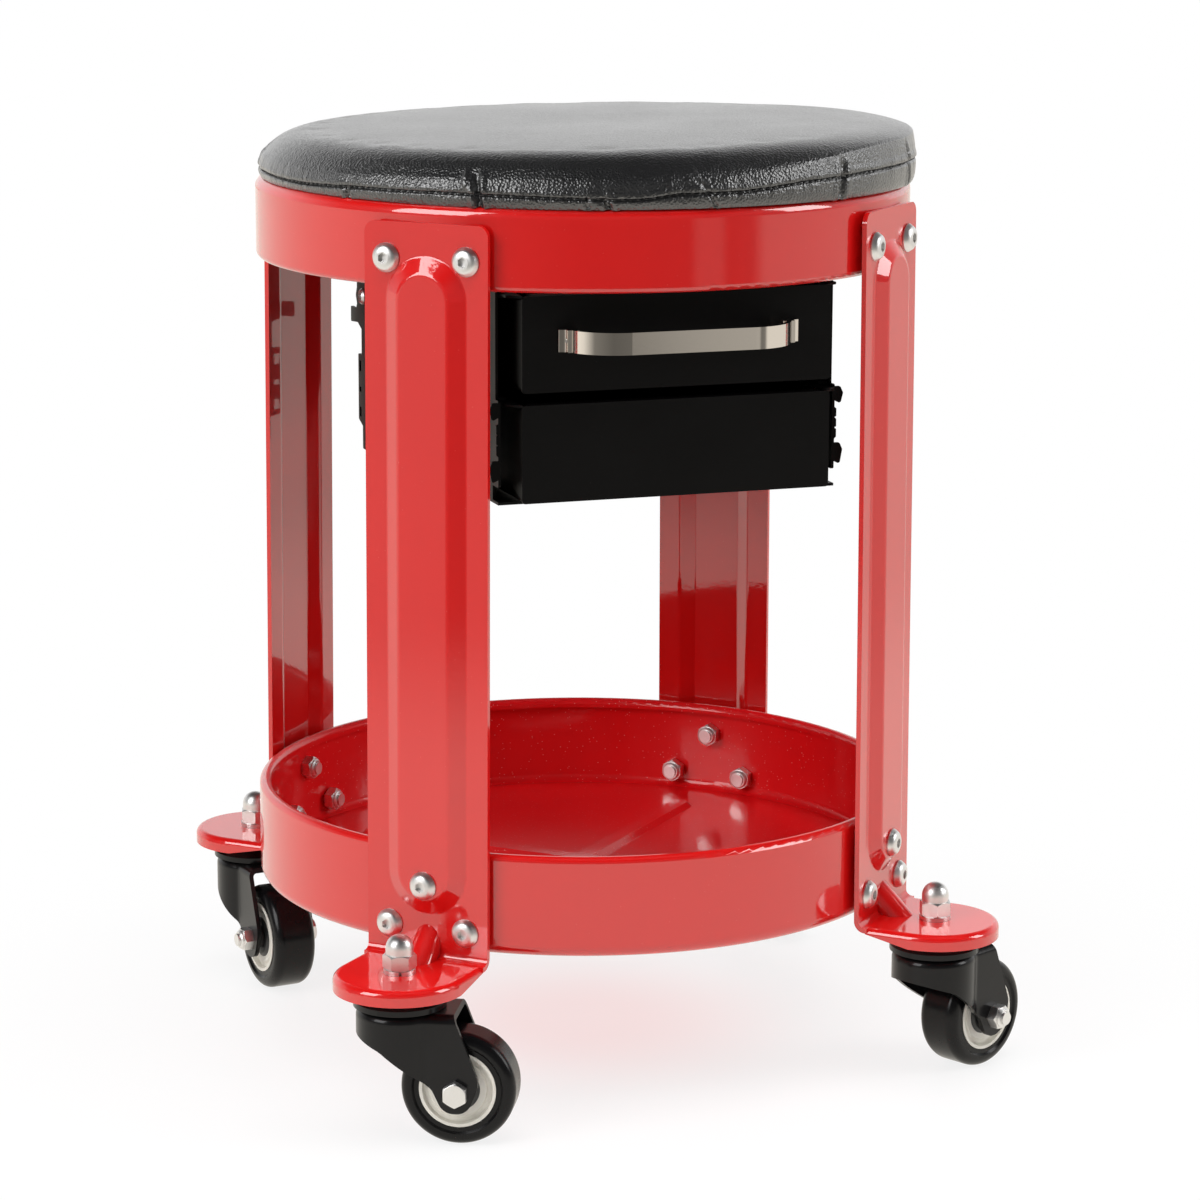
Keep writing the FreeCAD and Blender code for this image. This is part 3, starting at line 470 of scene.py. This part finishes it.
# Folds across the seam: both ends as (angle, height), half width, and depth, below zero for a ridge
FOLDS = [((-127.7, 0.4200), (-126.9, 0.4065), 0.0012, 0.0028),
         ((-129.6, 0.4215), (-129.4, 0.4150), 0.0010, -0.0008),
         ((-91.7, 0.4235), (-88.3, 0.4065), 0.0007, -0.0007),
         ((-91.2, 0.4200), (-87.8, 0.4065), 0.0008, 0.0010),
         ((-61.0, 0.4250), (-61.8, 0.4075), 0.0016, 0.0015),
         ((-37.0, 0.4265), (-35.0, 0.4080), 0.0014, 0.0014),
         ((-106.3, 0.4100), (-105.6, 0.4065), 0.0012, 0.0016),
         ((-152.8, 0.4110), (-152.9, 0.4065), 0.0012, 0.0014),
         ((-109.3, 0.4115), (-109.0, 0.4070), 0.0008, 0.0010),
         ((20.0, 0.4230), (19.0, 0.4070), 0.0013, 0.0016),
         ((63.0, 0.4220), (64.5, 0.4070), 0.0012, 0.0020),
         ((118.0, 0.4200), (117.5, 0.4070), 0.0011, 0.0015),
         ((163.0, 0.4230), (164.0, 0.4070), 0.0013, 0.0016)]
FOLD_RADIUS_FROM = 0.137
FOLD_ROWS_BELOW_SEAM = 4
FOLD_START_DEPTH = 0.1
FOLD_DEPTH_GAIN = 3

# Low ridges beside each fold: share of its depth, and place and width in half widths of the fold
RIDGE_SHARE = 0.3
RIDGE_PLACE = 2.4
RIDGE_WIDTH = 1.2

# Reach of the seam's course above and below it, with the groove and the roll that the thread pulls
FOLLOW_ABOVE = 0.007
FOLLOW_BELOW = 0.0026
GROOVE_DEPTH = 0.0010
GROOVE_WIDTH = 0.0006
ROLL_HEIGHT = 0.00030
ROLL_ABOVE_SEAM = 0.0021
ROLL_WIDTH = 0.0013

# Ripples beside the seam, as (waves round, strength, place in the noise), and shallow dents
RIPPLES = [(9, 1.0, 0.0), (23, 0.8, 5.0), (60, 0.6, 9.0)]
RIPPLE_DEPTH = 0.0005
RIPPLE_REACH_ABOVE = 0.005
RIPPLE_REACH_BELOW = 0.004
DENTS_PER_METRE = 19
DENT_DEPTH = 0.0003

# The most that the vinyl gives under its tension, and the radii where it lies still and where loose
COVER_PULL = 0.0004
STILL_RADIUS = 0.02
LOOSE_RADIUS = 0.06
SIM_FRAMES = 18

# Rounded rim of the pan that the lower band rests on
RIM_RADIUS = 0.1450
RIM_HEIGHT = 0.4015
RIM_ROUNDING = 0.0050
RIM_INNER_REACH = 0.004
RIM_ROWS_BELOW_SEAM = 5
RIM_CLEARANCE = 0.0002


def arc_points(start, middle, end, steps):
    """Points of the arc through three (radius, height) points, the first left out."""
    (ax, ay), (bx, by), (cx, cy) = start, middle, end
    a_square = ax * ax + ay * ay
    b_square = bx * bx + by * by
    c_square = cx * cx + cy * cy
    spread = 2 * (ax * (by - cy) + bx * (cy - ay) + cx * (ay - by))
    centre_x = (a_square * (by - cy) + b_square * (cy - ay) + c_square * (ay - by)) / spread
    centre_y = (a_square * (cx - bx) + b_square * (ax - cx) + c_square * (bx - ax)) / spread
    first = math.atan2(ay - centre_y, ax - centre_x)
    sweep = math.remainder(math.atan2(cy - centre_y, cx - centre_x) - first, 2 * math.pi)
    reach = math.hypot(ax - centre_x, ay - centre_y)
    turns = [first + sweep * i / steps for i in range(1, steps + 1)]
    return [(centre_x + reach * math.cos(turn), centre_y + reach * math.sin(turn)) for turn in turns]


def outline_rows(steps):
    """(radius, height) of every row of the cover, with so many steps to each simulated row."""
    rows = [CROWN[0][0]]
    for start, middle, end, count in CROWN + LOWER_BAND:
        rows += arc_points(start, middle, end, count * steps)
    return np.array(rows)


def finer_rows(rows, steps, closed):
    """Smooth rows through the given ones, with so many steps from each to the next."""
    count = len(rows)
    result = []
    for i in range(count if closed else count - 1):
        near = [(i + k) % count if closed else min(max(i + k, 0), count - 1) for k in (-1, 0, 1, 2)]
        before, here, after, beyond = (rows[k] for k in near)
        for t in (step / steps for step in range(steps)):
            bend = 2 * before - 5 * here + 4 * after - beyond + t * (3 * (here - after) + beyond - before)
            result.append(here + 0.5 * t * (after - before + t * bend))
    return np.array(result if closed else result + [rows[-1]])


def closed_cover(name, places):
    """Closed mesh through rows of places, with the first and the last row filled in."""
    rows, columns = places.shape[:2]
    corners = [(i, (i + 1) % columns) for i in range(columns)]
    faces = [(r * columns + i, (r + 1) * columns + i, (r + 1) * columns + j, r * columns + j)
             for r in range(rows - 1) for i, j in corners]
    top = rows * columns
    bottom = top + 1
    faces += [(top, i, j) for i, j in corners]
    faces += [(bottom, (rows - 1) * columns + j, (rows - 1) * columns + i) for i, j in corners]
    points = np.concatenate([places.reshape(-1, 3), [places[0].mean(axis=0)], [places[-1].mean(axis=0)]])
    mesh = bpy.data.meshes.new(name)
    mesh.from_pydata(points.tolist(), [], faces)
    return mesh


def round_about(outline, columns):
    """Outline turned round the seat's axis, and the angle of every column."""
    turns = np.arange(columns) * (2 * math.pi / columns)
    ring = np.stack([np.cos(turns), np.sin(turns)], axis=-1)
    level = np.repeat(outline[:, None, 1:], columns, axis=1)
    return np.concatenate([outline[:, None, :1] * ring[None], level], axis=2), turns


def relaxed_slack(start_places, outline, seam_row):
    """How far the vinyl gives from the seam up, from a short cloth simulation that ends at the seam."""
    cover_data = closed_cover("cushion_sim", start_places)
    sim = bpy.data.objects.new("cushion_sim", cover_data)
    scene.collection.objects.link(sim)
    held = sim.vertex_groups.new(name="held")
    held.add(list(range(seam_row * SIM_SEGMENTS, len(cover_data.vertices))), 1.0, 'REPLACE')
    cloth = sim.modifiers.new("vinyl", 'CLOTH')
    cloth.settings.quality = 5
    cloth.settings.mass = 0.45
    cloth.settings.tension_stiffness = 20
    cloth.settings.compression_stiffness = 20
    cloth.settings.shear_stiffness = 6
    cloth.settings.bending_stiffness = 4
    cloth.settings.air_damping = 4
    cloth.settings.use_pressure = True
    cloth.settings.uniform_pressure_force = 3
    cloth.settings.shrink_min = 0.002
    cloth.settings.vertex_group_mass = "held"
    cloth.settings.effector_weights.gravity = 0
    cloth.collision_settings.use_collision = False
    for frame_number in range(1, SIM_FRAMES + 1):
        scene.frame_set(frame_number)
    settled = sim.evaluated_get(bpy.context.evaluated_depsgraph_get()).data
    moved = np.empty(len(settled.vertices) * 3)
    settled.vertices.foreach_get("co", moved)
    slack = moved.reshape(-1, 3)[:start_places.size // 3].reshape(start_places.shape) - start_places
    length = np.linalg.norm(slack, axis=2, keepdims=True)
    loose = np.clip((outline[:, 0] - STILL_RADIUS) / (LOOSE_RADIUS - STILL_RADIUS), 0, 1)[:, None, None]
    slack *= COVER_PULL / np.maximum(length, COVER_PULL) * loose
    bpy.data.objects.remove(sim)
    bpy.data.meshes.remove(cover_data)
    scene.frame_set(1)
    return slack


def course_round(stops, smoothing):
    """Smooth course through (angle in degrees, value) stops, at every column."""
    around = np.remainder(turns + math.pi, 2 * math.pi) - math.pi
    values = np.interp(around, np.radians([turn for turn, _ in stops]), [value for _, value in stops])
    window = np.hanning(2 * smoothing + 1) / smoothing
    return np.convolve(np.tile(values, 3), window, 'same')[len(turns):2 * len(turns)]


def hill(distance, half_width):
    """Bell curve of height 1."""
    return np.exp(-(distance / half_width) ** 2)


seam_row = sum(count for *_, count in CROWN)
outline = outline_rows(1)
places, turns = round_about(outline, SIM_SEGMENTS)
slack = relaxed_slack(places, outline, seam_row)

outline = outline_rows(FINE_STEPS)
places, turns = round_about(outline, SIM_SEGMENTS * FINE_STEPS)
slack = finer_rows(slack, FINE_STEPS, closed=False).transpose(1, 0, 2)
places += finer_rows(slack, FINE_STEPS, closed=True).transpose(1, 0, 2)
seam_row *= FINE_STEPS
row_numbers = np.arange(len(outline))[:, None]
along = np.gradient(outline, axis=0)
along /= np.linalg.norm(along, axis=1, keepdims=True)
ring = np.stack([np.cos(turns), np.sin(turns)], axis=-1)
upwards = np.repeat(along[:, None, :1], len(turns), axis=1)
outwards = np.concatenate([-along[:, None, 1:] * ring[None], upwards], axis=2)

# The shoulder is fuller on one side, and the crown leans
heights = places[:, :, 2].copy()
drop = np.interp(heights, (SEAM_HEIGHT, SHOULDER_HEIGHT, CROWN[0][0][1]), (0, SHOULDER_DROP, 0))
places[:, :, 2] += drop * course_round(FULLNESS, FULLNESS_SMOOTHING)[None]
sideways = places[:, :, 0] * level_right.x + places[:, :, 1] * level_right.y
places[:, :, 2] += np.interp(heights, (SEAM_HEIGHT, TILT_FULL_FROM), (0, 1)) * COVER_TILT * sideways

# The rows near the seam follow its course
seam = course_round(SEAM_COURSE, SEAM_SMOOTHING)
from_seam = places[:, :, 2] - SEAM_HEIGHT
follow = np.where(from_seam > 0, hill(from_seam, FOLLOW_ABOVE), hill(from_seam, FOLLOW_BELOW))
follow[seam_row + FOLD_ROWS_BELOW_SEAM * FINE_STEPS:] = 0
places[:, :, 2] += follow * (seam - SEAM_HEIGHT)[None]

# Each fold is a groove between two low ridges, deepest away from its upper end
above = places[:, :, 2] - seam[None]
push = np.zeros(above.shape)
for (turn_a, level_a), (turn_b, level_b), width, depth in FOLDS:
    start = np.array((math.radians(turn_a) * SIDE_RADIUS, level_a))
    reach = np.array((math.radians(turn_b) * SIDE_RADIUS, level_b)) - start
    x = (np.remainder(turns - math.radians(turn_a) + math.pi, 2 * math.pi) - math.pi)[None] * SIDE_RADIUS
    z = places[:, :, 2] - level_a
    share = np.clip((x * reach[0] + z * reach[1]) / (reach @ reach), 0, 1)
    gap = np.hypot(x - share * reach[0], z - share * reach[1])
    groove = hill(gap, width) - RIDGE_SHARE * hill(gap - RIDGE_PLACE * width, RIDGE_WIDTH * width)
    push -= np.clip(share * FOLD_DEPTH_GAIN + FOLD_START_DEPTH, 0, 1) * depth * groove

# The seam pulls a narrow groove with a roll above it, and the vinyl beside it ripples
push -= GROOVE_DEPTH * hill(above, GROOVE_WIDTH)
push += ROLL_HEIGHT * hill(above - ROLL_ABOVE_SEAM, ROLL_WIDTH)
near_seam = np.where(above > 0, np.exp(-above / RIPPLE_REACH_ABOVE), np.exp(above / RIPPLE_REACH_BELOW))
ripple = np.array([sum(strength * noise.noise((waves * math.cos(turn), waves * math.sin(turn), layer))
                       for waves, strength, layer in RIPPLES) for turn in turns])
push += RIPPLE_DEPTH * ripple[None] * near_seam
push *= (outline[:, :1] > FOLD_RADIUS_FROM) & (row_numbers < seam_row + FOLD_ROWS_BELOW_SEAM * FINE_STEPS)
dents = np.array([[noise.noise(Vector(place) * DENTS_PER_METRE) for place in row]
                  for row in places[::FINE_STEPS, ::FINE_STEPS]])
dents = finer_rows(finer_rows(dents, FINE_STEPS, closed=False).T, FINE_STEPS, closed=True).T
push += DENT_DEPTH * dents * (row_numbers < seam_row)
places += outwards * push[:, :, None]
places[:, :, :2] += np.array(level_right[:2]) * COVER_SHIFT

# The band rests on the rounded rim of the pan
out = np.hypot(places[:, :, 0], places[:, :, 1])
rim = RIM_HEIGHT + np.sqrt(np.maximum(RIM_ROUNDING ** 2 - np.maximum(out - RIM_RADIUS, 0) ** 2, 0))
resting = (out < RIM_RADIUS + RIM_ROUNDING) & (out > RIM_RADIUS - RIM_INNER_REACH)
resting &= row_numbers < seam_row + RIM_ROWS_BELOW_SEAM * FINE_STEPS
places[:, :, 2] = np.where(resting, np.maximum(places[:, :, 2], rim + RIM_CLEARANCE), places[:, :, 2])

VINYL_LOW = (0.0065, 0.0065, 0.007)
VINYL_HIGH = (0.011, 0.0108, 0.011)
GRAIN_PER_METRE = 950
GRAIN_SOFTNESS = 0.3
GRAIN_DEPTH = 0.00030
CRINKLE_DEPTH = 0.00014

vinyl, tree, shader, place = new_material("vinyl")
pebble = add_node(tree, 'ShaderNodeTexVoronoi', feature='SMOOTH_F1',
                  inputs={'Vector': place, 'Scale': GRAIN_PER_METRE, 'Smoothness': GRAIN_SOFTNESS})
crinkle = noise_value(tree, place, per_metre=700, detail=4, roughness=0.65)
wide = noise_value(tree, place, per_metre=26, detail=3)
gloss = cloudy_gloss(tree, wide, smooth=0.28, rough=0.36)
relief = bump(tree, crinkle, CRINKLE_DEPTH, bump(tree, pebble.outputs['Distance'], GRAIN_DEPTH))
colour = blend_colours(tree, wide, VINYL_LOW, VINYL_HIGH)
set_sockets(shader, {'Base Color': colour, 'Roughness': gloss, 'Specular IOR Level': 0.6, 'Normal': relief,
                     'Coat Weight': 1.0, 'Coat Roughness': 0.28, 'Coat IOR': 1.75, 'Coat Normal': relief})

cover_data = closed_cover("cushion_cover", places)
cover_data.shade_smooth()
cover_data.materials.append(vinyl)
cover = bpy.data.objects.new("cushion_cover", cover_data)
scene.collection.objects.link(cover)
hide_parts("seat_cushion")
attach(cover, "frame")


# Thread of the seam: short, slightly slanted stitches of black thread that lie in the groove
# between the cover's top panel and its lower band.
STITCH_PITCH = 0.0034
STITCH_DEPTH = 0.00028
STITCH_LENGTH = 0.00125
STITCH_HEIGHT = 0.00030
STITCH_SLANT = math.radians(9)
STITCH_LIFT = 0.0003
STITCH_TAPER = 0.85
STITCH_ROWS_BELOW_SEAM = 3
STITCH_SIDES = 6
STITCH_RINGS = (-1.0, -0.55, 0.55, 1.0)
THREAD_BLACK = (0.02, 0.02, 0.021, 1)
THREAD_TWIST = 0.00005

stitch_count = round(2 * math.pi * SIDE_RADIUS / STITCH_PITCH)
stitch_points = []
stitch_faces = []
for i in range(stitch_count):
    column = int(i / stitch_count * len(turns))
    lower_rows = places[seam_row:seam_row + STITCH_ROWS_BELOW_SEAM * FINE_STEPS, column, 2]
    row = seam_row + int(np.argmin(np.abs(lower_rows - seam[column])))
    centre = Vector(places[row, column]) + Vector(outwards[row, column]) * STITCH_LIFT
    pose = (Matrix.Translation(centre) @ Matrix.Rotation(turns[column], 4, 'Z')
            @ Matrix.Rotation(STITCH_SLANT, 4, 'X'))
    first = len(stitch_points)
    for x in STITCH_RINGS:
        girth = math.sqrt(1 - STITCH_TAPER * x * x)
        for k in range(STITCH_SIDES):
            turn = 2 * math.pi / STITCH_SIDES * k
            stitch_points.append(pose @ Vector((STITCH_DEPTH * girth * math.cos(turn), STITCH_LENGTH * x,
                                                STITCH_HEIGHT * girth * math.sin(turn))))
    for r in range(len(STITCH_RINGS) - 1):
        ring_start = first + STITCH_SIDES * r
        ring_end = ring_start + STITCH_SIDES
        for k in range(STITCH_SIDES):
            after = (k + 1) % STITCH_SIDES
            stitch_faces.append((ring_start + k, ring_start + after, ring_end + after, ring_end + k))
    last = first + STITCH_SIDES * (len(STITCH_RINGS) - 1)
    stitch_faces.append(tuple(first + k for k in reversed(range(STITCH_SIDES))))
    stitch_faces.append(tuple(last + k for k in range(STITCH_SIDES)))

thread, tree, shader, place = new_material("black_thread")
twist = noise_value(tree, place, per_metre=3000)
set_sockets(shader, {'Base Color': THREAD_BLACK, 'Roughness': 0.55,
                     'Normal': bump(tree, twist, THREAD_TWIST)})
stitch_data = bpy.data.meshes.new("cushion_stitches")
stitch_data.from_pydata([tuple(point) for point in stitch_points], [], stitch_faces)
stitch_data.shade_smooth()
stitch_data.materials.append(thread)
stitches = bpy.data.objects.new("cushion_stitches", stitch_data)
scene.collection.objects.link(stitches)
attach(stitches, "frame")
